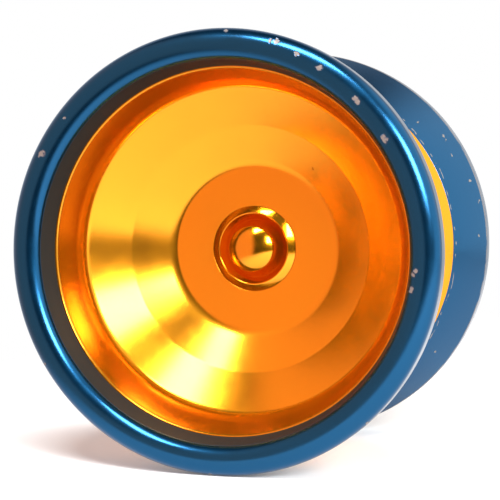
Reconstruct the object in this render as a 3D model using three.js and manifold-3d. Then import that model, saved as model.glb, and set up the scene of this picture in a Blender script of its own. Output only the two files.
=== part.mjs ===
// A full-size metal yo-yo on a ball bearing, as separate pieces.
// Millimetres, +Z up. The spin axis is Y, with the front half at -Y and the back half at +Y.
// The origin is on the spin axis in the middle of the string gap. The yo-yo stands on its rims.

import * as THREE from "three";
import { mergeVertices } from "three/addons/utils/BufferGeometryUtils.js";
import Module from "manifold-3d";

const wasm = await Module();
wasm.setup();

// ---------- driving dimensions ----------
// A "height" is measured along the spin axis from the middle of the string gap, outwards.

const FRONT = -1;
const BACK = 1;
const SIDES = [
  ["front", FRONT],
  ["back", BACK],
];

const FIT_GAP = 0.05; // clearance between pieces that are pressed or stacked together
const LARGE_SEGMENTS = 48; // round steps on the cups and rings
const SMALL_SEGMENTS = 32; // round steps on the hub, the axle and the bearing

const RIM_RADIUS = 28;
const RIM_LAND_START = 18.5; // height where the ring's outer cylinder begins
const RIM_LAND_END = 20.55; // height where the rounded lip begins
const LIP_CENTRE_RADIUS = 26.04;
const LIP_HALF_WIDTH = RIM_RADIUS - LIP_CENTRE_RADIUS;
const LIP_BULGE = 1.65; // how far the lip stands out past the land
const RING_SEAT_HEIGHT = 11.8; // where the ring meets the body on the gap side
const RING_SEAT_RADIUS = 24.2;
const FLANGE_RADIUS = 23.75; // the body's flange inside the ring
const FLANGE_TOP = 17.64;
const RING_MOUTH_RADIUS = 23.52; // the ring's inner wall, where it meets the flange

const GAP_HALF_WIDTH = 2.25;
const BODY_FACE_RADIUS = 10.2; // flat face beside the string gap
const DISC_HEIGHT = 5.15; // flat floor of the cup
const DISC_RADIUS = 10.75; // where the floor begins to curve up into the cone
const CONE_BREAK_RADIUS = 16.4; // the cup's floor cone changes slope here
const CONE_BREAK_HEIGHT = 8.1;
const WALL_FOOT_RADIUS = 22.24; // bottom of the cup's steep wall
const WALL_FOOT_HEIGHT = 13.35;

const PAD_INNER_RADIUS = 7.1;
const PAD_OUTER_RADIUS = 9.6;
const PAD_GROOVE_DEPTH = 1.15;
const PAD_THICKNESS = 1.05;

const BEARING_BORE_RADIUS = 3.175;
const BEARING_RADIUS = 6.35;
const BEARING_HALF_WIDTH = 2.38;
const BALL_RADIUS = 0.79;
const BALL_COUNT = 10;
const PITCH_RADIUS = 4.7625;
const RACE_GROOVE_RADIUS = BALL_RADIUS + 0.03;
const INNER_SHOULDER_RADIUS = 4.25;
const OUTER_SHOULDER_RADIUS = 5.27;
const SHIELD_THICKNESS = 0.2;
const SHIELD_HEIGHT = 1.95; // inner face of a shield
const SHIELD_RECESS_RADIUS = 5.8;
const SNAP_RING_THICKNESS = 0.17;
const SNAP_RING_WIDTH = 0.42;
const SNAP_RING_SPLIT = 0.35; // radians left open
const CAGE_HALF_WIDTH = 1.15;
const CAGE_INNER_RADIUS = 4.42;
const CAGE_OUTER_RADIUS = 5.1;
const POCKET_RADIUS = 0.85;

const HUB_BASE_RADIUS = 5.7;
const HUB_SINK = 0.3; // how deep the hub's base sits in the cup's floor
const HUB_STEM_RADIUS = 4.6;
const HUB_RING_RADIUS = 4.75; // crest of the hub's raised ring
const HUB_RING_HEIGHT = 5.7;
const HUB_GROOVE_RADIUS = 3.9; // bottom of the deep groove between the ring and the dome
const HUB_GROOVE_HEIGHT = 4.4;
const DOME_RADIUS = 3;
const DOME_FOOT_HEIGHT = 6.8;
const DOME_TOP = 7.7;
const SEAT_END = 0.3; // inner end of the post that carries the bearing

const AXLE_RADIUS = 1.97;
const AXLE_BORE_RADIUS = 2.05;
const AXLE_HALF_LENGTH = 6;
const AXLE_BORE_DEPTH = 6.3;
const AXLE_CHAMFER = 0.35;
const HEX_KEY_ACROSS_FLATS = 2;
const HEX_KEY_DEPTH = 2;

// ---------- materials ----------

const material = (color, roughness, metalness) =>
  new THREE.MeshStandardMaterial({ color, roughness, metalness });
const goldSatin = material(0xf08a12, 0.32, 1);
const goldPolished = material(0xf2951a, 0.12, 1);
const blueAnodised = material(0x2a76b8, 0.22, 1);
const silicone = material(0xe8e8e4, 0.7, 0);
const bearingSteel = material(0xc8cacc, 0.18, 1);
const shieldSteel = material(0xb4b6b8, 0.3, 1);
const cageBronze = material(0xa9803c, 0.4, 1);
const screwSteel = material(0x55585c, 0.35, 1);

// ---------- shape helpers ----------

// Turns a profile of [radius, height] points about the spin axis. The points run outwards along the
// gap side and back inwards along the far side, and the back half is the front half mirrored.
function turned(profile, side, segments) {
  const points = profile.map(([radius, height]) => new THREE.Vector2(radius, side * height));
  if (side === FRONT) points.reverse();
  return new THREE.LatheGeometry(points, segments);
}

// The same, for a ring whose profile doesn't touch the axis.
function turnedRing(profile, side, segments) {
  return turned([...profile, profile[0]], side, segments);
}

// Points along a quadratic curve from start to end, without the first and last.
function bend(start, control, end, steps) {
  const curve = new THREE.QuadraticBezierCurve(
    new THREE.Vector2(...start),
    new THREE.Vector2(...control),
    new THREE.Vector2(...end),
  );
  return curve
    .getPoints(steps)
    .slice(1, -1)
    .map((point) => [point.x, point.y]);
}

// Points along an elliptical arc, in degrees from the outward direction.
function arc(centreRadius, centreHeight, halfWidth, rise, fromDegrees, toDegrees, steps) {
  const points = [];
  for (let i = 0; i <= steps; i++) {
    const angle = THREE.MathUtils.degToRad(fromDegrees + ((toDegrees - fromDegrees) * i) / steps);
    points.push([centreRadius + halfWidth * Math.cos(angle), centreHeight + rise * Math.sin(angle)]);
  }
  return points;
}

// A closed geometry as a solid that can be cut.
function solidOf(geometry) {
  const bare = geometry.clone();
  bare.deleteAttribute("normal");
  bare.deleteAttribute("uv");
  const merged = mergeVertices(bare, 1e-4);
  return new wasm.Manifold(
    new wasm.Mesh({
      numProp: 3,
      vertProperties: merged.attributes.position.array,
      triVerts: new Uint32Array(merged.index.array),
    }),
  );
}

// A solid as a geometry again.
function geometryOf(solid) {
  const mesh = solid.getMesh();
  const geometry = new THREE.BufferGeometry();
  geometry.setAttribute("position", new THREE.BufferAttribute(mesh.vertProperties, 3));
  geometry.setIndex(new THREE.BufferAttribute(mesh.triVerts, 1));
  geometry.computeVertexNormals();
  return geometry;
}

function piece(name, geometry, pieceMaterial) {
  const mesh = new THREE.Mesh(geometry, pieceMaterial);
  mesh.name = name;
  return mesh;
}

// ---------- one half ----------

// The aluminium cup: recess for the bearing, groove for the pad, flared outside, flange for the ring.
function bodyGeometry(side) {
  const recessRadius = BEARING_RADIUS + 0.2;
  const recessHeight = BEARING_HALF_WIDTH + 0.22;
  const stemBore = HUB_STEM_RADIUS + FIT_GAP;
  const grooveHeight = GAP_HALF_WIDTH + PAD_GROOVE_DEPTH;
  const flareStart = [BODY_FACE_RADIUS, GAP_HALF_WIDTH];
  const flareControl = [18.6, 5.9];
  const seat = [RING_SEAT_RADIUS, RING_SEAT_HEIGHT];
  const wallFoot = [WALL_FOOT_RADIUS, WALL_FOOT_HEIGHT];
  const floorConeTop = [21.1, 11.35];
  const floorConeFoot = [12, 5.61];
  const wallControl = [21.85, 11.8];
  const discControl = [11.19, DISC_HEIGHT];
  const disc = [DISC_RADIUS, DISC_HEIGHT];
  return turnedRing(
    [
      [stemBore, recessHeight],
      [recessRadius, recessHeight],
      [recessRadius, GAP_HALF_WIDTH],
      [PAD_INNER_RADIUS - FIT_GAP, GAP_HALF_WIDTH],
      [PAD_INNER_RADIUS - FIT_GAP, grooveHeight],
      [PAD_OUTER_RADIUS + FIT_GAP, grooveHeight],
      [PAD_OUTER_RADIUS + FIT_GAP, GAP_HALF_WIDTH],
      flareStart,
      ...bend(flareStart, flareControl, seat, 6),
      seat,
      [FLANGE_RADIUS, RING_SEAT_HEIGHT],
      [FLANGE_RADIUS, FLANGE_TOP],
      [FLANGE_RADIUS - 0.33, FLANGE_TOP],
      [FLANGE_RADIUS - 0.53, FLANGE_TOP - 0.2],
      wallFoot,
      ...bend(wallFoot, wallControl, floorConeTop, 3),
      floorConeTop,
      [CONE_BREAK_RADIUS, CONE_BREAK_HEIGHT],
      floorConeFoot,
      ...bend(floorConeFoot, discControl, disc, 3),
      disc,
      [HUB_BASE_RADIUS + FIT_GAP, DISC_HEIGHT],
      [HUB_BASE_RADIUS + FIT_GAP, DISC_HEIGHT - HUB_SINK],
      [stemBore, DISC_HEIGHT - HUB_SINK],
    ],
    side,
    LARGE_SEGMENTS,
  );
}

// The weight ring: sits on the body's shoulder, over its flange, and ends in a rounded lip.
function weightRingGeometry(side) {
  const lip = arc(LIP_CENTRE_RADIUS, RIM_LAND_END, LIP_HALF_WIDTH, LIP_BULGE, 0, 172, 9);
  return turnedRing(
    [
      [FLANGE_RADIUS + FIT_GAP, RING_SEAT_HEIGHT + FIT_GAP],
      [RING_SEAT_RADIUS, RING_SEAT_HEIGHT + FIT_GAP],
      [RIM_RADIUS - 0.12, RIM_LAND_START - 0.2],
      [RIM_RADIUS, RIM_LAND_START],
      ...lip,
      [RING_MOUTH_RADIUS, FLANGE_TOP + 2 * FIT_GAP],
      [FLANGE_RADIUS + FIT_GAP, FLANGE_TOP + 2 * FIT_GAP],
    ],
    side,
    LARGE_SEGMENTS,
  );
}

// The hub: dome and raised ring on the cup's floor, a stem through the body, and the bearing's post.
function hubGeometry(side) {
  const baseHeight = DISC_HEIGHT - HUB_SINK + FIT_GAP;
  const shoulderHeight = BEARING_HALF_WIDTH + FIT_GAP;
  const foot = [HUB_BASE_RADIUS, DISC_HEIGHT];
  const crest = [HUB_RING_RADIUS, HUB_RING_HEIGHT];
  const ringControl = [5.3, 5.43]; // bends the ring's outer side
  const domeFoot = [DOME_RADIUS, DOME_FOOT_HEIGHT];
  const domeControl = [1.61, DOME_TOP];
  const grooveHalf = 0.12;
  return turned(
    [
      [0, AXLE_BORE_DEPTH],
      [AXLE_BORE_RADIUS, AXLE_BORE_DEPTH],
      [AXLE_BORE_RADIUS, SEAT_END],
      [BEARING_BORE_RADIUS - 0.25, SEAT_END],
      [BEARING_BORE_RADIUS - FIT_GAP, SEAT_END + 0.2],
      [BEARING_BORE_RADIUS - FIT_GAP, shoulderHeight],
      [INNER_SHOULDER_RADIUS - 0.15, shoulderHeight],
      [HUB_STEM_RADIUS - FIT_GAP, shoulderHeight + 0.4],
      [HUB_STEM_RADIUS - FIT_GAP, baseHeight],
      [HUB_BASE_RADIUS, baseHeight],
      foot,
      ...bend(foot, ringControl, crest, 3),
      crest,
      [HUB_GROOVE_RADIUS + grooveHalf, HUB_GROOVE_HEIGHT],
      [HUB_GROOVE_RADIUS - grooveHalf, HUB_GROOVE_HEIGHT],
      domeFoot,
      ...bend(domeFoot, domeControl, [0, DOME_TOP], 5),
      [0, DOME_TOP],
    ],
    side,
    SMALL_SEGMENTS,
  );
}

// The silicone ring in its groove, a little below the face.
function responsePadGeometry(side) {
  const bottom = GAP_HALF_WIDTH + PAD_GROOVE_DEPTH - FIT_GAP;
  const face = bottom - PAD_THICKNESS;
  return turnedRing(
    [
      [PAD_INNER_RADIUS, face],
      [PAD_OUTER_RADIUS, face],
      [PAD_OUTER_RADIUS, bottom],
      [PAD_INNER_RADIUS, bottom],
    ],
    side,
    LARGE_SEGMENTS,
  );
}

// ---------- axle ----------

// The set screw, with a hexagonal key socket in its front end. Its thread is a plain cylinder here.
function axleGeometry() {
  const shank = turned(
    [
      [0, -AXLE_HALF_LENGTH],
      [AXLE_RADIUS - AXLE_CHAMFER, -AXLE_HALF_LENGTH],
      [AXLE_RADIUS, -AXLE_HALF_LENGTH + AXLE_CHAMFER],
      [AXLE_RADIUS, AXLE_HALF_LENGTH - AXLE_CHAMFER],
      [AXLE_RADIUS - AXLE_CHAMFER, AXLE_HALF_LENGTH],
      [0, AXLE_HALF_LENGTH],
    ],
    BACK,
    SMALL_SEGMENTS,
  );
  const keyRadius = HEX_KEY_ACROSS_FLATS / Math.sqrt(3);
  const key = new THREE.CylinderGeometry(keyRadius, keyRadius, 2 * HEX_KEY_DEPTH, 6);
  key.translate(0, FRONT * AXLE_HALF_LENGTH, 0);
  return geometryOf(solidOf(shank).subtract(solidOf(key)));
}

// ---------- bearing ----------

// Points of the ball groove in a race, between the race's two shoulders, from low to high.
function raceGroove(shoulderRadius, bulgesOutwards) {
  const reach = Math.abs(PITCH_RADIUS - shoulderRadius);
  const half = Math.acos(reach / RACE_GROOVE_RADIUS);
  const direction = bulgesOutwards ? 1 : -1;
  const points = [];
  const steps = 6;
  for (let i = 0; i <= steps; i++) {
    const angle = -half + (2 * half * i) / steps;
    points.push([
      PITCH_RADIUS + direction * RACE_GROOVE_RADIUS * Math.cos(angle),
      RACE_GROOVE_RADIUS * Math.sin(angle),
    ]);
  }
  return points;
}

function innerRaceGeometry() {
  const half = BEARING_HALF_WIDTH;
  return turnedRing(
    [
      [BEARING_BORE_RADIUS, -half],
      [INNER_SHOULDER_RADIUS, -half],
      ...raceGroove(INNER_SHOULDER_RADIUS, false),
      [INNER_SHOULDER_RADIUS, half],
      [BEARING_BORE_RADIUS, half],
    ],
    BACK,
    SMALL_SEGMENTS,
  );
}

function outerRaceGeometry() {
  const half = BEARING_HALF_WIDTH;
  const chamfer = 0.2;
  const recess = SHIELD_HEIGHT - FIT_GAP;
  return turnedRing(
    [
      [SHIELD_RECESS_RADIUS, -half],
      [BEARING_RADIUS - chamfer, -half],
      [BEARING_RADIUS, -half + chamfer],
      [BEARING_RADIUS, half - chamfer],
      [BEARING_RADIUS - chamfer, half],
      [SHIELD_RECESS_RADIUS, half],
      [SHIELD_RECESS_RADIUS, recess],
      [OUTER_SHOULDER_RADIUS, recess],
      ...raceGroove(OUTER_SHOULDER_RADIUS, true).reverse(),
      [OUTER_SHOULDER_RADIUS, -recess],
      [SHIELD_RECESS_RADIUS, -recess],
    ],
    BACK,
    SMALL_SEGMENTS,
  );
}

function shieldGeometry(side) {
  const inner = INNER_SHOULDER_RADIUS + 0.12;
  const outer = SHIELD_RECESS_RADIUS - FIT_GAP;
  return turnedRing(
    [
      [inner, SHIELD_HEIGHT],
      [outer, SHIELD_HEIGHT],
      [outer, SHIELD_HEIGHT + SHIELD_THICKNESS],
      [inner, SHIELD_HEIGHT + SHIELD_THICKNESS],
    ],
    side,
    SMALL_SEGMENTS,
  );
}

// A split ring of flat wire, outside the shield.
function snapRingGeometry(side) {
  const outer = SHIELD_RECESS_RADIUS - 2 * FIT_GAP;
  const inner = outer - SNAP_RING_WIDTH;
  const start = SNAP_RING_SPLIT / 2;
  const end = 2 * Math.PI - SNAP_RING_SPLIT / 2;
  const outline = new THREE.Shape();
  outline.absarc(0, 0, outer, start, end, false);
  outline.absarc(0, 0, inner, end, start, true);
  outline.closePath();
  const geometry = new THREE.ExtrudeGeometry(outline, {
    depth: SNAP_RING_THICKNESS,
    bevelEnabled: false,
    curveSegments: SMALL_SEGMENTS / 2,
  });
  const low = SHIELD_HEIGHT + SHIELD_THICKNESS + FIT_GAP;
  geometry.rotateX(-Math.PI / 2);
  geometry.translate(0, side === BACK ? low : -low - SNAP_RING_THICKNESS, 0);
  return geometry;
}

// Where a ball sits on the pitch circle.
function ballCentre(index) {
  const angle = (2 * Math.PI * index) / BALL_COUNT;
  return new THREE.Vector3(PITCH_RADIUS * Math.cos(angle), 0, PITCH_RADIUS * Math.sin(angle));
}

// The ball retainer: a band between the races with a round pocket for each ball.
function cageGeometry() {
  const band = turnedRing(
    [
      [CAGE_INNER_RADIUS, -CAGE_HALF_WIDTH],
      [CAGE_OUTER_RADIUS, -CAGE_HALF_WIDTH],
      [CAGE_OUTER_RADIUS, CAGE_HALF_WIDTH],
      [CAGE_INNER_RADIUS, CAGE_HALF_WIDTH],
    ],
    BACK,
    SMALL_SEGMENTS,
  );
  let cage = solidOf(band);
  for (let i = 0; i < BALL_COUNT; i++) {
    const pocket = new THREE.SphereGeometry(POCKET_RADIUS, 10, 6);
    const centre = ballCentre(i);
    pocket.translate(centre.x, centre.y, centre.z);
    cage = cage.subtract(solidOf(pocket));
  }
  return geometryOf(cage);
}

// ---------- assembly ----------

function half(label, side) {
  const group = new THREE.Group();
  group.add(piece(`${label}_body`, bodyGeometry(side), goldSatin));
  group.add(piece(`${label}_weight_ring`, weightRingGeometry(side), blueAnodised));
  group.add(piece(`${label}_hub`, hubGeometry(side), goldPolished));
  group.add(piece(`${label}_response_pad`, responsePadGeometry(side), silicone));
  return group;
}

function bearing() {
  const group = new THREE.Group();
  group.add(piece("bearing_inner_race", innerRaceGeometry(), bearingSteel));
  group.add(piece("bearing_outer_race", outerRaceGeometry(), bearingSteel));
  group.add(piece("bearing_cage", cageGeometry(), cageBronze));
  for (const [label, side] of SIDES) {
    group.add(piece(`bearing_${label}_shield`, shieldGeometry(side), shieldSteel));
    group.add(piece(`bearing_${label}_snap_ring`, snapRingGeometry(side), shieldSteel));
  }
  for (let i = 0; i < BALL_COUNT; i++) {
    const number = String(i + 1).padStart(2, "0");
    const ballGeometry = new THREE.IcosahedronGeometry(BALL_RADIUS, 2);
    const ball = piece(`bearing_ball_${number}`, ballGeometry, bearingSteel);
    ball.position.copy(ballCentre(i));
    group.add(ball);
  }
  return group;
}

const yoyo = new THREE.Group();
for (const [label, side] of SIDES) yoyo.add(half(label, side));
yoyo.add(piece("axle", axleGeometry(), screwSteel));
yoyo.add(bearing());

export default yoyo;
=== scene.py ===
"""A full-size metal yo-yo: gold cups, blue weight rings and a ball bearing, on a pale floor."""

import math

import bmesh
import bpy
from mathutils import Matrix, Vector


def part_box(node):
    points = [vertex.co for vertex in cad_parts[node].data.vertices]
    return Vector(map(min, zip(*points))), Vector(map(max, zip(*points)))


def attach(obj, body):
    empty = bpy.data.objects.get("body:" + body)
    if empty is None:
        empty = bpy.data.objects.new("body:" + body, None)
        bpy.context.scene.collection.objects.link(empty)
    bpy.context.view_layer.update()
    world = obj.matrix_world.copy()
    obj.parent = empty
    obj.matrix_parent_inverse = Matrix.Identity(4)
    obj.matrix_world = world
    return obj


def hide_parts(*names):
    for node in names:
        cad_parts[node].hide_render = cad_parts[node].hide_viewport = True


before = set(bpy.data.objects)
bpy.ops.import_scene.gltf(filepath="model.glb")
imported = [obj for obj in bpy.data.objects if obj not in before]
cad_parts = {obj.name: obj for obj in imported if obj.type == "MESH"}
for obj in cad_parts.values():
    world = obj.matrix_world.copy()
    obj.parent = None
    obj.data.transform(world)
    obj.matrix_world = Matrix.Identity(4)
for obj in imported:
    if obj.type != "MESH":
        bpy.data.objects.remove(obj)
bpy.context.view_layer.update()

MM = 0.001
FRONT = -1
BACK = 1
SIDES = {"front": FRONT, "back": BACK}
scene = bpy.context.scene

# ---------- sizes from the frame, in millimetres ----------
# A height is measured along the spin axis from the middle of the string gap, outwards.


def corners(node):
    """Largest radius, lowest height and highest height of a turned node on the back half."""
    low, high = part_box(node)
    return high.x / MM, low.y / MM, high.y / MM


RIM_RADIUS, RING_LOW, LIP_TOP = corners("back_weight_ring")
SEAT_RADIUS, GAP_HALF, FLANGE_TOP = corners("back_body")
HUB_RADIUS, SEAT_END, DOME_TOP = corners("back_hub")
PAD_RADIUS, PAD_FACE, PAD_BOTTOM = corners("back_response_pad")
BEARING_RADIUS, _, BEARING_HALF = corners("bearing_outer_race")
AXLE_RADIUS, _, AXLE_END = corners("axle")

LARGE_STEPS = 288
SMALL_STEPS = 128
SMOOTH_ANGLE = 38
FIT_GAP = 0.05
LIP_RADIUS = 26.04
LIP_BASE = 20.55
SLOPE_TOP = 18.5


# ---------- camera ----------

CAMERA_AZIMUTH = math.radians(16.475)
CAMERA_ELEVATION = math.radians(2.295)
CAMERA_DISTANCE = 194.61 * MM
AIM_RIGHT = 3.83 * MM
AIM_UP = 0.38 * MM
FRONT_RIM_HEIGHT = 20.7
LENS_MM = 112.2
SENSOR_MM = 36

view_right = Vector((math.cos(CAMERA_AZIMUTH), math.sin(CAMERA_AZIMUTH), 0))
view_back = Vector(
    (
        math.sin(CAMERA_AZIMUTH) * math.cos(CAMERA_ELEVATION),
        -math.cos(CAMERA_AZIMUTH) * math.cos(CAMERA_ELEVATION),
        math.sin(CAMERA_ELEVATION),
    )
)
view_up = view_back.cross(view_right)


def make_camera():
    data = bpy.data.cameras.new("camera")
    data.lens = LENS_MM
    data.sensor_width = SENSOR_MM
    data.clip_start = 0.01
    camera = bpy.data.objects.new("camera", data)
    scene.collection.objects.link(camera)
    aim = Vector((0, -FRONT_RIM_HEIGHT * MM, 0)) + AIM_RIGHT * view_right + AIM_UP * view_up
    camera.location = aim + CAMERA_DISTANCE * view_back
    camera.rotation_euler = view_back.to_track_quat("Z", "Y").to_euler()
    scene.camera = camera


make_camera()

# ---------- turned shapes ----------

LONGEST_REACH = 0.48  # of an edge's length, for the rounding at each of its ends


def rounded(profile, closed, steps=5):
    """A profile of (radius, height, rounding) corners as points, each corner rounded by that length."""
    points = []
    count = len(profile)
    for i, (radius, height, rounding) in enumerate(profile):
        here = Vector((radius, height))
        at_end = not closed and i in (0, count - 1)
        if rounding <= 0 or at_end:
            points.append(here)
            continue
        before = Vector(profile[i - 1][:2]) - here
        after = Vector(profile[(i + 1) % count][:2]) - here
        reach = min(rounding, LONGEST_REACH * before.length, LONGEST_REACH * after.length)
        start = here + before.normalized() * reach
        end = here + after.normalized() * reach
        for k in range(steps + 1):
            t = k / steps
            points.append((1 - t) ** 2 * start + 2 * t * (1 - t) * here + t * t * end)
    return points


def curve_points(start, control, end, steps):
    """Inner points of a quadratic curve, as corners with no rounding."""
    points = []
    for k in range(1, steps):
        t = k / steps
        r = (1 - t) ** 2 * start[0] + 2 * t * (1 - t) * control[0] + t * t * end[0]
        h = (1 - t) ** 2 * start[1] + 2 * t * (1 - t) * control[1] + t * t * end[1]
        points.append((r, h, 0))
    return points


def arc_points(centre, half_width, rise, start_degrees, end_degrees, steps):
    """Points of an elliptical arc, as corners with no rounding."""
    points = []
    for k in range(steps + 1):
        angle = math.radians(start_degrees + (end_degrees - start_degrees) * k / steps)
        points.append((centre[0] + half_width * math.cos(angle), centre[1] + rise * math.sin(angle), 0))
    return points


def mesh_object(name, bm, smooth_angle=SMOOTH_ANGLE):
    """Makes a mesh smooth, but for edges sharper than the angle in degrees."""
    bmesh.ops.remove_doubles(bm, verts=bm.verts, dist=1e-7)
    bmesh.ops.recalc_face_normals(bm, faces=bm.faces)
    mesh = bpy.data.meshes.new(name)
    bm.to_mesh(mesh)
    bm.free()
    mesh.polygons.foreach_set("use_smooth", [True] * len(mesh.polygons))
    mesh.set_sharp_from_angle(angle=math.radians(smooth_angle))
    obj = bpy.data.objects.new(name, mesh)
    scene.collection.objects.link(obj)
    return obj


def skin(name, loops, closed=False, capped=False, smooth_angle=SMOOTH_ANGLE):
    """Joins loops of points with faces, all in millimetres. A loop of one point closes an end."""
    bm = bmesh.new()
    rings = [[bm.verts.new(Vector(point) * MM) for point in loop] for loop in loops]
    pairs = list(zip(rings, rings[1:]))
    if closed:
        pairs.append((rings[-1], rings[0]))
    for low, high in pairs:
        steps = max(len(low), len(high))
        for k in range(steps):
            after = (k + 1) % steps
            if len(low) == 1:
                bm.faces.new((low[0], high[after], high[k]))
            elif len(high) == 1:
                bm.faces.new((low[k], low[after], high[0]))
            else:
                bm.faces.new((low[k], low[after], high[after], high[k]))
    if capped:
        bm.faces.new(rings[0])
        bm.faces.new(rings[-1])
    return mesh_object(name, bm, smooth_angle)


def circle(radius, y, steps, shape=None):
    """A loop round the spin axis. The shape, if given, turns an angle into that point's own radius."""
    points = []
    for k in range(steps):
        angle = 2 * math.pi * k / steps
        r = shape(angle) if shape else radius
        points.append((r * math.cos(angle), y, r * math.sin(angle)))
    return points


def turned(name, profile, side, steps=LARGE_STEPS, closed=True):
    """Turns a profile in millimetres about the spin axis."""
    loops = []
    for point in rounded(profile, closed):
        if point.x < 1e-6:
            loops.append([(0, side * point.y, 0)])
        else:
            loops.append(circle(point.x, side * point.y, steps))
    return skin(name, loops, closed)


# ---------- material nodes ----------

SPOT_WOBBLE = 0.0009  # metres that a spot's outline is bent by, at most


class Nodes:
    """Short calls for building one material's node tree."""

    def __init__(self, name):
        self.material = bpy.data.materials.new(name)
        self.material.use_nodes = True
        self.tree = self.material.node_tree
        self.shader = self.tree.nodes["Principled BSDF"]
        self.position = self.add("ShaderNodeTexCoord").outputs["Object"]

    def add(self, kind, **settings):
        node = self.tree.nodes.new(kind)
        for key, value in settings.items():
            setattr(node, key, value)
        return node

    def link(self, source, socket):
        self.tree.links.new(source, socket)

    def feed(self, socket, value):
        if isinstance(value, bpy.types.NodeSocket):
            self.link(value, socket)
        else:
            socket.default_value = value

    def math(self, operation, a, b=0.0):
        node = self.add("ShaderNodeMath", operation=operation)
        self.feed(node.inputs[0], a)
        self.feed(node.inputs[1], b)
        return node.outputs[0]

    def vector(self, operation, a, b=(0, 0, 0)):
        node = self.add("ShaderNodeVectorMath", operation=operation)
        self.feed(node.inputs[0], a)
        self.feed(node.inputs[1], b)
        return node.outputs["Value" if operation in ("DISTANCE", "LENGTH") else "Vector"]

    def noise(self, scale, detail=3.0, roughness=0.55, vector=None):
        node = self.add("ShaderNodeTexNoise")
        self.feed(node.inputs["Vector"], vector or self.position)
        node.inputs["Scale"].default_value = scale
        node.inputs["Detail"].default_value = detail
        node.inputs["Roughness"].default_value = roughness
        return node.outputs["Fac"]

    def noise_colour(self, scale):
        node = self.add("ShaderNodeTexNoise")
        self.feed(node.inputs["Vector"], self.position)
        node.inputs["Scale"].default_value = scale
        return node.outputs["Color"]

    def ramp(self, value, low, high, to_low=0.0, to_high=1.0):
        node = self.add("ShaderNodeMapRange", interpolation_type="SMOOTHSTEP")
        self.feed(node.inputs["Value"], value)
        node.inputs["From Min"].default_value = low
        node.inputs["From Max"].default_value = high
        node.inputs["To Min"].default_value = to_low
        node.inputs["To Max"].default_value = to_high
        return node.outputs["Result"]

    def mix(self, factor, a, b):
        node = self.add("ShaderNodeMix", data_type="RGBA")
        self.feed(node.inputs["Factor"], factor)
        self.feed(node.inputs["A"], (*a, 1) if isinstance(a, tuple) else a)
        self.feed(node.inputs["B"], (*b, 1) if isinstance(b, tuple) else b)
        return node.outputs["Result"]

    def radius(self):
        """Distance from the spin axis, in metres."""
        flat = self.vector("MULTIPLY", self.position, (1, 0, 1))
        return self.vector("LENGTH", flat)

    def turning_lines(self, pitch):
        """Fine concentric tool marks, as a value that changes with the distance from the spin axis."""
        split = self.add("ShaderNodeSeparateXYZ")
        self.link(self.position, split.inputs[0])
        join = self.add("ShaderNodeCombineXYZ")
        self.link(self.radius(), join.inputs[0])
        self.link(split.outputs["Y"], join.inputs[1])
        return self.noise(1 / pitch, 2.0, 0.6, join.outputs[0])

    def height(self):
        """Distance from the middle of the string gap along the spin axis, in metres."""
        split = self.add("ShaderNodeSeparateXYZ")
        self.link(self.position, split.inputs[0])
        return self.math("ABSOLUTE", split.outputs["Y"])

    def band(self, value, low, high, soft):
        """One between low and high, falling to zero over the soft distance on each side."""
        rise = self.ramp(value, low - soft, low, 0.0, 1.0)
        fall = self.ramp(value, high, high + soft, 1.0, 0.0)
        return self.math("MULTIPLY", rise, fall)

    def spots(self, side, places):
        """Ragged spots, one where each (angle in degrees, radius, height, size) in millimetres says."""
        wobble = self.vector("MULTIPLY", self.noise_colour(1500), (SPOT_WOBBLE,) * 3)
        bent = self.vector("ADD", self.position, wobble)
        found = None
        for degrees, radius, height, size in places:
            turn = math.radians(degrees)
            centre = (radius * math.cos(turn) * MM, side * height * MM, radius * math.sin(turn) * MM)
            centre = tuple(c + SPOT_WOBBLE / 2 for c in centre)
            distance = self.vector("DISTANCE", bent, centre)
            spot = self.ramp(distance, 0.3 * size * MM, 0.6 * size * MM, 1.0, 0.0)
            found = spot if found is None else self.math("MAXIMUM", found, spot)
        return found

    def scattered_spots(self, scale, share, size):
        """Small round spots in a few of the cells of a cell pattern."""
        node = self.add("ShaderNodeTexVoronoi")
        self.link(self.position, node.inputs["Vector"])
        node.inputs["Scale"].default_value = scale
        spot = self.ramp(node.outputs["Distance"], size, 1.5 * size, 1.0, 0.0)
        split = self.add("ShaderNodeSeparateColor")
        self.link(node.outputs["Color"], split.inputs[0])
        chosen = self.math("LESS_THAN", split.outputs[0], share)
        return self.math("MULTIPLY", spot, chosen)

    def bump(self, height, distance, strength=1.0, before=None):
        node = self.add("ShaderNodeBump")
        self.feed(node.inputs["Height"], height)
        node.inputs["Distance"].default_value = distance
        node.inputs["Strength"].default_value = strength
        if before is not None:
            self.link(before, node.inputs["Normal"])
        return node.outputs["Normal"]

    def set(self, **values):
        """Sets shader sockets by name, with _ for a space."""
        for key, value in values.items():
            socket = self.shader.inputs[key.replace("_", " ")]
            if isinstance(value, tuple) and len(value) == 3 and socket.type == "RGBA":
                value = (*value, 1)
            self.feed(socket, value)
        return self.material


# ---------- materials ----------

GOLD = (0.7, 0.26, 0.004)
# Painted shade: a darker gold for the cup's steep wall, down in the recess.
SHADED_WALL_GOLD = (0.5, 0.185, 0.003)
RUBBED_GOLD = (0.72, 0.5, 0.25)
DARK_MARK = (0.12, 0.03, 0.004)
BLUE = (0.004, 0.06, 0.145)
# Painted shade: a near-black for the ring's bore, the inner wall beside the cup.
SHADED_BORE_BLACK = (0.017, 0.018, 0.017)


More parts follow.
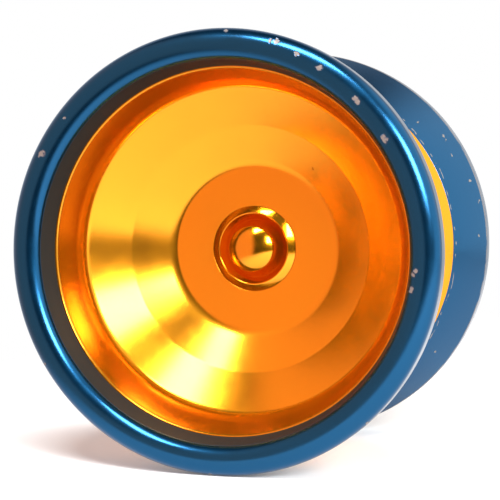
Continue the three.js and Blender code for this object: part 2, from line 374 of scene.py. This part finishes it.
def gold_satin(name, side, marks):
    """Bead-blasted gold, darkened on the cup's steep wall as painted shade, with string-rubbed rings, a few
    marks and dust.
    """
    n = Nodes(name)
    radius = n.radius()
    height = n.height()
    grain = n.noise(9000, 2.0, 0.6)
    cloud = n.noise(160, 3.0)
    lines = n.turning_lines(0.00012)
    normal = n.bump(grain, 0.000004, 0.5)
    normal = n.bump(lines, 0.000002, 0.3, normal)
    beside_gap = n.band(radius, 0.0100, 0.0122, 0.0012)
    gap_side = n.ramp(height, 0.0042, 0.0046, 1.0, 0.0)
    rings = n.ramp(n.turning_lines(0.0004), 0.45, 0.6)
    rubbed = n.math("MULTIPLY", n.math("MULTIPLY", beside_gap, gap_side), n.math("MULTIPLY", rings, 0.5))
    dust = n.scattered_spots(600, 0.012, 0.07)
    pale = n.math("MAXIMUM", rubbed, dust)
    dark = n.math("MULTIPLY", n.spots(side, marks), 0.8)
    roughness = n.ramp(cloud, 0.3, 0.7, 0.17, 0.22)
    # Painted shade: the steep wall inside the flange is coloured a darker gold, standing in for the shade
    # of the recess.
    above_cone = n.ramp(height, 0.0132, 0.0138)
    inside_flange = n.ramp(radius, 0.0234, 0.0236, 1.0, 0.0)
    wall_shade = n.math("MULTIPLY", above_cone, inside_flange)
    colour = n.mix(wall_shade, GOLD, SHADED_WALL_GOLD)
    colour = n.mix(pale, colour, RUBBED_GOLD)
    return n.set(
        Base_Color=n.mix(dark, colour, DARK_MARK),
        Metallic=0.92,
        Roughness=n.math("MAXIMUM", roughness, n.math("MULTIPLY", n.math("MAXIMUM", pale, dark), 0.5)),
        Normal=normal,
        Coat_Weight=0.27,
        Coat_Roughness=0.16,
    )


def gold_polished():
    """Polished gold with fine tool marks and faint smears."""
    n = Nodes("gold_polished")
    lines = n.turning_lines(0.00008)
    normal = n.bump(lines, 0.000001, 0.3)
    smear = n.ramp(n.noise(900, 3.0), 0.35, 0.75, 0.13, 0.19)
    return n.set(
        Base_Color=GOLD,
        Metallic=0.97,
        Roughness=smear,
        Normal=normal,
        Coat_Weight=0.4,
        Coat_Roughness=0.05,
    )


def on_lip(across):
    """Radius and height on a ring's lip, at degrees from its outer side over its top, which is at 90."""
    angle = math.radians(across)
    radius = LIP_RADIUS + (RIM_RADIUS - LIP_RADIUS) * math.cos(angle)
    return radius, LIP_BASE + (LIP_TOP - LIP_BASE) * math.sin(angle)


def on_slope(share):
    """Radius and height on a ring's outer slope, from its seat at 0 to its corner at 1."""
    radius = SEAT_RADIUS + share * (RIM_RADIUS - SEAT_RADIUS)
    return radius, RING_LOW + share * (SLOPE_TOP - RING_LOW)


def chip_places(place_on, *rows):
    """Chips as spots, from (angle in degrees, place on that surface, size) rows."""
    return [(degrees, *place_on(where), size) for degrees, where, size in rows]


FRONT_CHIPS = chip_places(
    on_lip,
    (152, 75, 0.95),
    (140, 80, 0.45),
    (87.5, 40, 0.75),
    (75, 60, 0.6),
    (73.5, 55, 0.7),
    (67, 75, 0.7),
    (60, 85, 0.85),
    (47, 95, 0.65),
    (46, 100, 0.75),
    (34, 110, 0.65),
    (33, 110, 0.75),
    (356, 120, 0.7),
    (354.5, 130, 0.7),
    (350.5, 130, 0.85),
    (212, 45, 0.6),
    (268, 25, 0.7),
)
BACK_SLOPE_CHIPS = chip_places(
    on_slope,
    (43, 0.35, 0.45),
    (35.5, 0.7, 0.5),
    (34, 0.7, 0.35),
    (29, 0.6, 0.4),
    (19.5, 0.8, 0.45),
    (13, 0.9, 0.45),
    (3, 0.75, 0.45),
    (324, 0.5, 0.45),
)
BACK_LIP_CHIPS = chip_places(
    on_lip,
    (100, 65, 0.65),
    (195, 85, 0.6),
    (310, 55, 0.7),
)
RING_CHIPS = {"front": FRONT_CHIPS, "back": BACK_SLOPE_CHIPS + BACK_LIP_CHIPS}
BARE_METAL = (0.19, 0.168, 0.158)


def blue_anodised(name, side, places):
    """Blue over aluminium: chipped, rubbed thin on its outer corner, scratched along the joint, and
    near-black in its bore as painted shade.
    """
    n = Nodes(name)
    radius = n.radius()
    height = n.height()
    grain = n.noise(12000, 2.0)
    lines = n.turning_lines(0.0001)
    bore = n.ramp(radius, 0.02412, 0.0242, 1.0, 0.0)
    near_edge = n.ramp(radius, 0.0268, 0.0274, 0.0, 1.0)
    small = n.math("MULTIPLY", n.scattered_spots(420, 0.06, 0.1), near_edge)
    chips = n.math("MAXIMUM", n.spots(side, places), small)
    corner = n.math("MULTIPLY", n.band(height, 0.0183, 0.01865, 0.0001), n.ramp(radius, 0.02785, 0.02796))
    rub = n.math("MULTIPLY", corner, n.ramp(n.noise(450, 4.0), 0.3, 0.5))
    wander = n.math("MULTIPLY", n.noise(120, 3.0), 0.0012)
    path = n.math("SUBTRACT", radius, wander)
    nick = n.band(path, 0.02395, 0.024, 0.00003)
    outside = n.ramp(height, 0.0171, 0.0172, 1.0, 0.0)
    dashes = n.ramp(n.noise(900, 2.0), 0.52, 0.6)
    nick = n.math("MULTIPLY", n.math("MULTIPLY", nick, dashes), outside)
    bare = n.math("MAXIMUM", chips, n.math("MAXIMUM", n.math("MULTIPLY", rub, 0.85), nick))
    normal = n.bump(grain, 0.000002, 0.4)
    normal = n.bump(lines, 0.000002, 0.3, normal)
    sweep = n.noise(40, 2.0, 0.5, n.vector("MULTIPLY", n.position, (1, 6, 1)))
    satin = n.ramp(n.math("ADD", n.noise(300, 3.0), n.math("MULTIPLY", sweep, 0.2)), 0.35, 0.85, 0.19, 0.26)
    normal = n.bump(n.math("SUBTRACT", 1.0, chips), 0.00008, 0.5, normal)
    dull = n.math("MAXIMUM", n.math("MULTIPLY", bore, 0.48), n.math("MULTIPLY", bare, 0.55))
    roughness = n.math("MAXIMUM", satin, dull)
    # Painted shade: the bore is a near-black non-metal without coat, instead of the blue metal.
    colour = n.mix(bare, n.mix(bore, BLUE, SHADED_BORE_BLACK), BARE_METAL)
    metallic = n.math("SUBTRACT", n.ramp(bore, 0.0, 1.0, 0.94, 0.0), n.math("MULTIPLY", bare, 0.6))
    return n.set(
        Base_Color=colour,
        Metallic=metallic,
        Roughness=roughness,
        Normal=normal,
        Specular_IOR_Level=0.04,
        Coat_Weight=n.ramp(bore, 0.0, 1.0, 0.2, 0.0),
        Coat_Roughness=0.2,
    )


def silicone():
    """Pale matt rubber, a little uneven in tone."""
    n = Nodes("silicone")
    normal = n.bump(n.noise(6000, 3.0), 0.00001, 0.5)
    clean = (0.83, 0.83, 0.8)
    soiled = (0.74, 0.73, 0.7)
    tint = n.mix(n.ramp(n.noise(500, 3.0), 0.35, 0.7), clean, soiled)
    return n.set(Base_Color=tint, Roughness=0.6, Normal=normal)


def steel(name, tone, rough_low, rough_high, pitch):
    """Turned metal of one tone, dulled in patches, with tool marks of the given pitch in metres."""
    n = Nodes(name)
    normal = n.bump(n.turning_lines(pitch), 0.000002, 0.4)
    roughness = n.ramp(n.noise(700, 3.0), 0.3, 0.7, rough_low, rough_high)
    dull = tuple(0.82 * v for v in tone)
    colour = n.mix(n.ramp(n.noise(350, 4.0), 0.45, 0.75), tone, dull)
    return n.set(Base_Color=colour, Metallic=1.0, Roughness=roughness, Normal=normal)


# ---------- one half ----------

DISC_HEIGHT = 5.15
PAD_INNER_RADIUS = 7.1
STEM_BORE = HUB_RADIUS - 1.05
POST_RADIUS = 3.125
AXLE_BORE_RADIUS = 2.05


def cup_profile():
    """Bearing recess, pad groove, flared outside, flange for the ring, steep wall, cones and flat floor."""
    recess_radius = BEARING_RADIUS + 0.2
    recess = BEARING_HALF + 0.22
    groove_inner = PAD_INNER_RADIUS - FIT_GAP
    groove_outer = PAD_RADIUS + FIT_GAP
    groove = PAD_BOTTOM + FIT_GAP
    flare_start = (PAD_RADIUS + 0.6, GAP_HALF)
    flare_control = (18.6, 5.9)
    seat = (SEAT_RADIUS, RING_LOW - FIT_GAP)
    flange = SEAT_RADIUS - 0.45
    wall_foot = (22.24, 13.35)
    wall_control = (21.85, 11.8)
    cone_top = (21.1, 11.35)
    cone_break = (16.4, 8.1)
    cone_foot = (12, 5.61)
    disc_control = (11.19, DISC_HEIGHT)
    disc_edge = (10.75, DISC_HEIGHT)
    sink = DISC_HEIGHT - 0.3
    return [
        (STEM_BORE, recess, 0.1),
        (recess_radius, recess, 0),
        (recess_radius, GAP_HALF, 0.08),
        (groove_inner, GAP_HALF, 0.08),
        (groove_inner, groove, 0),
        (groove_outer, groove, 0),
        (groove_outer, GAP_HALF, 0.08),
        (*flare_start, 0.3),
        *curve_points(flare_start, flare_control, seat, 24),
        (*seat, 0.06),
        (flange, seat[1], 0),
        (flange, FLANGE_TOP, 0.04),
        (flange - 0.33, FLANGE_TOP, 0.08),
        (flange - 0.53, FLANGE_TOP - 0.2, 0.08),
        (*wall_foot, 0.3),
        *curve_points(wall_foot, wall_control, cone_top, 8),
        (*cone_top, 0),
        (*cone_break, 0.12),
        (*cone_foot, 0),
        *curve_points(cone_foot, disc_control, disc_edge, 12),
        (*disc_edge, 0),
        (HUB_RADIUS + FIT_GAP, DISC_HEIGHT, 0.05),
        (HUB_RADIUS + FIT_GAP, sink, 0),
        (STEM_BORE, sink, 0),
    ]


def ring_profile():
    """Seat on the cup, outer slope, narrow land, rounded lip and the wall down to the flange."""
    bore = SEAT_RADIUS - 0.4
    mouth_radius = 23.52
    lip_centre = (LIP_RADIUS, LIP_BASE)
    lip = arc_points(lip_centre, RIM_RADIUS - LIP_RADIUS, LIP_TOP - LIP_BASE, 0, 172, 28)
    return [
        (bore, RING_LOW, 0),
        (SEAT_RADIUS, RING_LOW, 0.08),
        (RIM_RADIUS, SLOPE_TOP, 0.15),
        *lip,
        (mouth_radius, FLANGE_TOP + 0.1, 0.08),
        (bore, FLANGE_TOP + 0.1, 0),
    ]


def hub_profile():
    """Blind bore for the axle, post for the bearing, stem, raised ring, deep groove and dome."""
    bore_end = AXLE_END + 0.3
    stem = STEM_BORE - 2 * FIT_GAP
    shoulder = BEARING_HALF + FIT_GAP
    base = DISC_HEIGHT - 0.25
    groove_bottom = (3.9, 4.4)
    crest = (4.75, 5.66)
    dome_foot = (3.05, 6.8)
    dome_control = (1.61, DOME_TOP)
    return [
        (0, bore_end, 0),
        (AXLE_BORE_RADIUS, bore_end, 0),
        (AXLE_BORE_RADIUS, SEAT_END, 0.1),
        (POST_RADIUS, SEAT_END, 0.2),
        (POST_RADIUS, shoulder, 0),
        (stem - 0.45, shoulder, 0.05),
        (stem, shoulder + 0.4, 0.05),
        (stem, base, 0),
        (HUB_RADIUS, base, 0),
        (HUB_RADIUS, DISC_HEIGHT, 0),
        (*crest, 0.15),
        (*groove_bottom, 0.03),
        (*dome_foot, 0.15),
        *curve_points(dome_foot, dome_control, (0, DOME_TOP), 24),
        (0, DOME_TOP, 0),
    ]


def pad_profile():
    return [
        (PAD_INNER_RADIUS, PAD_FACE, 0.1),
        (PAD_RADIUS, PAD_FACE, 0.1),
        (PAD_RADIUS, PAD_BOTTOM, 0),
        (PAD_INNER_RADIUS, PAD_BOTTOM, 0),
    ]


def place(obj, material, body, slot, *nodes):
    """Gives a piece its material and body, and hides the CAD nodes it stands for. The slot is not used."""
    obj.data.materials.append(material)
    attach(obj, body)
    if nodes:
        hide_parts(*nodes)


# Small dark marks in each cup, as (angle in degrees, radius, height, size).
CUP_MARKS = {
    "front": [(51.5, 13.45, 6.6, 0.35), (50.5, 13.3, 6.55, 0.3), (284.5, 20.4, 10.9, 0.25)],
    "back": [(130, 15, 7.45, 0.35), (20, 9, 5.15, 0.3)],
}
polished = gold_polished()
pad_silicone = silicone()
for label, side in SIDES.items():
    body = f"{label}_half"
    cup = turned(f"{label}_cup", cup_profile(), side)
    satin = gold_satin(f"{label}_gold", side, CUP_MARKS[label])
    place(cup, satin, body, "gold_satin", f"{label}_body")
    ring = turned(f"{label}_ring", ring_profile(), side)
    blue = blue_anodised(f"{label}_blue", side, RING_CHIPS[label])
    place(ring, blue, body, "blue_anodised", f"{label}_weight_ring")
    hub = turned(f"{label}_hub_insert", hub_profile(), side, SMALL_STEPS, closed=False)
    place(hub, polished, body, "gold_polished", f"{label}_hub")
    pad = turned(f"{label}_pad", pad_profile(), side)
    place(pad, pad_silicone, body, "silicone", f"{label}_response_pad")

# ---------- bearing ----------

PITCH_RADIUS = 4.7625
BALL_RADIUS = 0.79
BALL_COUNT = 10
BORE_RADIUS = 3.175
INNER_SHOULDER = 4.25
OUTER_SHOULDER = 5.27
SHIELD_SEAT = 5.8
SHIELD_HEIGHT = 1.95
SHIELD_THICKNESS = 0.2


def groove(shoulder, outwards, steps=14):
    """The round ball groove between a race's two shoulders, from low to high."""
    radius = BALL_RADIUS + 0.03
    half = math.acos(abs(PITCH_RADIUS - shoulder) / radius)
    points = []
    for k in range(steps + 1):
        angle = -half + 2 * half * k / steps
        points.append((PITCH_RADIUS + outwards * radius * math.cos(angle), radius * math.sin(angle), 0))
    return points


def inner_race():
    """The race on the posts, with the balls' groove in its outside."""
    half = BEARING_HALF
    profile = [
        (BORE_RADIUS, -half, 0.15),
        (INNER_SHOULDER, -half, 0.12),
        *groove(INNER_SHOULDER, -1),
        (INNER_SHOULDER, half, 0.12),
        (BORE_RADIUS, half, 0.15),
    ]
    return turned("inner_race", profile, BACK, SMALL_STEPS)


def outer_race():
    """The race that carries the string, with the balls' groove and the shields' seats inside."""
    half = BEARING_HALF
    seat = SHIELD_HEIGHT - FIT_GAP
    profile = [
        (SHIELD_SEAT, -half, 0.06),
        (BEARING_RADIUS, -half, 0.25),
        (BEARING_RADIUS, half, 0.25),
        (SHIELD_SEAT, half, 0.06),
        (SHIELD_SEAT, seat, 0),
        (OUTER_SHOULDER, seat, 0.04),
        *reversed(groove(OUTER_SHOULDER, 1)),
        (OUTER_SHOULDER, -seat, 0.04),
        (SHIELD_SEAT, -seat, 0),
    ]
    return turned("outer_race", profile, BACK, SMALL_STEPS)


def shield(label, side):
    """A pressed steel washer with a shallow step."""
    inner = INNER_SHOULDER + 0.12
    outer = SHIELD_SEAT - FIT_GAP
    step_radius = 5.1
    step = 0.04
    low = SHIELD_HEIGHT
    high = SHIELD_HEIGHT + SHIELD_THICKNESS
    profile = [
        (inner, low, 0),
        (outer, low, 0),
        (outer, high - step, 0.03),
        (step_radius, high - step, 0.04),
        (step_radius - 0.1, high, 0.04),
        (inner, high, 0.05),
    ]
    return turned(f"{label}_shield", profile, side, SMALL_STEPS)


def snap_ring(label, side):
    """A split ring of flat wire that holds the shield in."""
    outer = SHIELD_SEAT - 0.1
    inner = outer - 0.42
    low = SHIELD_HEIGHT + SHIELD_THICKNESS + FIT_GAP
    high = low + 0.17
    section = [
        (inner, low, 0.04),
        (outer, low, 0.04),
        (outer, high, 0.04),
        (inner, high, 0.04),
    ]
    corners_of_section = rounded(section, True, 2)
    open_angle = 0.35
    steps = 120
    loops = []
    for k in range(steps + 1):
        angle = open_angle / 2 + (2 * math.pi - open_angle) * k / steps
        loops.append(
            [(p.x * math.cos(angle), side * p.y, p.x * math.sin(angle)) for p in corners_of_section]
        )
    return skin(f"{label}_snap_ring", loops, capped=True)


def cage_ribbon(name, side):
    """Half of the ball retainer: a pressed ribbon that bulges round each ball."""
    inner = 4.45
    outer = 5.05
    thickness = 0.14
    clear = BALL_RADIUS + 0.04
    pocket = 2 * math.pi / BALL_COUNT
    steps = 400
    loops = []
    for k in range(steps):
        angle = 2 * math.pi * k / steps
        from_ball = (angle + pocket / 2) % pocket - pocket / 2
        away = PITCH_RADIUS * math.sin(abs(from_ball))
        bulge = math.sqrt(max(clear**2 - away**2, 0.0))
        low = max(bulge, 0.02)
        high = low + thickness
        loop = []
        for radius, height in ((inner, low), (outer, low), (outer, high), (inner, high)):
            loop.append((radius * math.cos(angle), side * height, radius * math.sin(angle)))
        loops.append(loop)
    return skin(name, loops, closed=True)


def ball(number):
    angle = 2 * math.pi * (number - 1) / BALL_COUNT
    bm = bmesh.new()
    bmesh.ops.create_uvsphere(bm, u_segments=40, v_segments=20, radius=BALL_RADIUS * MM)
    centre = (PITCH_RADIUS * math.cos(angle) * MM, 0, PITCH_RADIUS * math.sin(angle) * MM)
    bmesh.ops.translate(bm, verts=bm.verts, vec=centre)
    return mesh_object(f"ball_{number:02d}", bm, 180)


bearing_steel = steel("bearing_steel", (0.62, 0.63, 0.64), 0.12, 0.2, 0.0001)
ball_steel = steel("ball_steel", (0.66, 0.67, 0.68), 0.05, 0.1, 0.0003)
shield_steel = steel("shield_steel", (0.5, 0.5, 0.51), 0.25, 0.35, 0.0001)
cage_bronze = steel("cage_bronze", (0.55, 0.36, 0.14), 0.3, 0.42, 0.0002)
place(inner_race(), bearing_steel, "bearing_inner", "bearing_steel", "bearing_inner_race")
place(outer_race(), bearing_steel, "bearing_outer", "bearing_steel", "bearing_outer_race")
for label, side in SIDES.items():
    cover = f"bearing_{label}_shield"
    keeper = f"bearing_{label}_snap_ring"
    place(shield(label, side), shield_steel, "bearing_outer", "shield_steel", cover)
    place(snap_ring(label, side), shield_steel, "bearing_outer", "shield_steel", keeper)
place(cage_ribbon("cage_front_ribbon", FRONT), cage_bronze, "bearing_cage", "cage_bronze", "bearing_cage")
place(cage_ribbon("cage_back_ribbon", BACK), cage_bronze, "bearing_cage", "cage_bronze")
for number in range(1, BALL_COUNT + 1):
    place(ball(number), ball_steel, "bearing_cage", "bearing_steel", f"bearing_ball_{number:02d}")

# ---------- axle ----------

THREAD_PITCH = 0.7
THREAD_DEPTH = 0.38
FLANK_STEEPNESS = 1.6
ROOT_FLAT = 0.3
SOCKET_POINT = 0.35
AXLE_CHAMFER = 0.35
HEX_ACROSS_FLATS = 2.0
HEX_DEPTH = 2.0


def axle():
    """The set screw, with a real helical thread and a hexagonal key socket in its front end."""
    steps = 48
    slices = 340

    def thread(y):
        """The thread's radius at each angle at this place along the axle, cut down by the end's chamfer."""
        end_limit = AXLE_RADIUS - AXLE_CHAMFER + (AXLE_END - abs(y))

        def radius(angle):
            phase = (y / THREAD_PITCH - angle / (2 * math.pi)) % 1.0
            rise = min(1.0, max(0.0, FLANK_STEEPNESS * abs(2 * phase - 1) - ROOT_FLAT))
            return min(AXLE_RADIUS - THREAD_DEPTH * (1 - rise), end_limit)

        return radius

    def hexagon(angle):
        turn = angle % (math.pi / 3) - math.pi / 6
        return HEX_ACROSS_FLATS / 2 / math.cos(turn)

    loops = [[(0, -AXLE_END + HEX_DEPTH + SOCKET_POINT, 0)]]
    loops.append(circle(0, -AXLE_END + HEX_DEPTH, steps, hexagon))
    loops.append(circle(0, -AXLE_END, steps, hexagon))
    for k in range(slices + 1):
        y = -AXLE_END + 2 * AXLE_END * k / slices
        loops.append(circle(0, y, steps, thread(y)))
    loops.append([(0, AXLE_END, 0)])
    return skin("threaded_axle", loops, smooth_angle=30)


screw_steel = steel("screw_steel", (0.12, 0.12, 0.13), 0.3, 0.4, 0.0002)
place(axle(), screw_steel, "back_half", "screw_steel", "axle")

# ---------- floor, lights and surroundings ----------

FLOOR_RADIUS = 0.24
FLOOR_FADE = 0.05
FLOOR_SHIFT_RIGHT = 0.165
FLOOR_SHIFT_BACK = 0.018
LIGHT_DISTANCE = 0.36
ROOM_TONE = (0.06, 0.065, 0.075)
WALL_DIRECTION = (-75, 3)
WALL_FULL_DEGREES = 47
WALL_EDGE_DEGREES = 62
WALL_TONE = (1.35, 0.73, 0.55)
WINDOW_DIRECTION = (88, 15)
WINDOW_FULL_DEGREES = 30
WINDOW_EDGE_DEGREES = 60
WINDOW_TONE = (2.0, 2.15, 2.1)
BACKDROP_DIRECTION = (180, 0)
BACKDROP_FULL_DEGREES = 50
BACKDROP_EDGE_DEGREES = 80
BACKDROP_TONE = (0.9, 0.9, 0.9)
BRIGHT_SIDES = [
    (WALL_DIRECTION, WALL_FULL_DEGREES, WALL_EDGE_DEGREES, WALL_TONE),
    (WINDOW_DIRECTION, WINDOW_FULL_DEGREES, WINDOW_EDGE_DEGREES, WINDOW_TONE),
    (BACKDROP_DIRECTION, BACKDROP_FULL_DEGREES, BACKDROP_EDGE_DEGREES, BACKDROP_TONE),
]


def towards(azimuth, elevation):
    """The direction at angles in degrees from the camera's own direction, seen from the yo-yo."""
    azimuth, elevation = math.radians(azimuth), math.radians(elevation)
    return (
        math.sin(azimuth) * math.cos(elevation) * view_right
        + math.sin(elevation) * view_up
        + math.cos(azimuth) * math.cos(elevation) * view_back
    )


def make_floor():
    """A round white sheet that fades out at its edge."""
    bm = bmesh.new()
    bmesh.ops.create_circle(bm, cap_ends=True, segments=96, radius=FLOOR_RADIUS)
    floor = mesh_object("floor", bm)
    level_back = Vector((view_back.x, view_back.y, 0))
    floor.location = FLOOR_SHIFT_RIGHT * view_right - FLOOR_SHIFT_BACK * level_back
    floor.location.z = -RIM_RADIUS * MM
    n = Nodes("floor_white")
    normal = n.bump(n.noise(3000, 4.0), 0.00005, 0.3)
    distance = n.vector("LENGTH", n.position)
    alpha = n.ramp(distance, FLOOR_RADIUS - FLOOR_FADE, FLOOR_RADIUS, 1.0, 0.0)
    white = (0.85, 0.85, 0.85)
    material = n.set(
        Base_Color=white,
        Roughness=0.9,
        Specular_IOR_Level=0.1,
        Normal=normal,
        Alpha=alpha,
        Emission_Color=(1, 1, 1),
        Emission_Strength=0.15,
    )
    floor.data.materials.append(material)


def make_light(name, azimuth, elevation, width, height, power, turn=0.0):
    """A softbox that faces the yo-yo. Its size is in metres and its power in watts."""
    direction = towards(azimuth, elevation)
    data = bpy.data.lights.new(name, "AREA")
    data.shape = "RECTANGLE"
    data.size = width
    data.size_y = height
    data.energy = power
    light = bpy.data.objects.new(name, data)
    scene.collection.objects.link(light)
    light.location = direction * LIGHT_DISTANCE
    light.rotation_euler = direction.to_track_quat("Z", "Y").to_euler()
    light.rotation_euler.rotate_axis("Z", math.radians(turn))
    light.visible_camera = False


def make_world():
    """White to the camera. To reflections, a dark room with a warm wall, a window and a backdrop."""
    world = bpy.data.worlds.new("studio")
    scene.world = world
    world.use_nodes = True
    tree = world.node_tree
    direction = tree.nodes.new("ShaderNodeTexCoord").outputs["Generated"]

    def brightened(before, centre, full_degrees, edge_degrees, tone):
        """The colour so far, turned to this tone round one direction."""
        facing = tree.nodes.new("ShaderNodeVectorMath")
        facing.operation = "DOT_PRODUCT"
        tree.links.new(direction, facing.inputs[0])
        facing.inputs[1].default_value = towards(*centre)
        spread = tree.nodes.new("ShaderNodeMapRange")
        spread.interpolation_type = "SMOOTHSTEP"
        tree.links.new(facing.outputs["Value"], spread.inputs["Value"])
        spread.inputs["From Min"].default_value = math.cos(math.radians(edge_degrees))
        spread.inputs["From Max"].default_value = math.cos(math.radians(full_degrees))
        mixed = tree.nodes.new("ShaderNodeMix")
        mixed.data_type = "RGBA"
        tree.links.new(spread.outputs["Result"], mixed.inputs["Factor"])
        if isinstance(before, tuple):
            mixed.inputs["A"].default_value = (*before, 1)
        else:
            tree.links.new(before, mixed.inputs["A"])
        mixed.inputs["B"].default_value = (*tone, 1)
        return mixed.outputs["Result"]

    room = ROOM_TONE
    for side in BRIGHT_SIDES:
        room = brightened(room, *side)
    background = tree.nodes["Background"]
    tree.links.new(room, background.inputs["Color"])
    seen = tree.nodes.new("ShaderNodeBackground")
    seen.inputs["Color"].default_value = (1, 1, 1, 1)
    path = tree.nodes.new("ShaderNodeLightPath")
    mix = tree.nodes.new("ShaderNodeMixShader")
    tree.links.new(path.outputs["Is Camera Ray"], mix.inputs[0])
    tree.links.new(background.outputs[0], mix.inputs[1])
    tree.links.new(seen.outputs[0], mix.inputs[2])
    tree.links.new(mix.outputs[0], tree.nodes["World Output"].inputs["Surface"])


make_floor()
make_light("softbox_right", 25, 20, 0.108, 0.108, 1.6)
make_light("softbox_top", -7, 50, 0.17, 0.072, 1.7, 20)
make_world()
scene.view_settings.view_transform = "Standard"
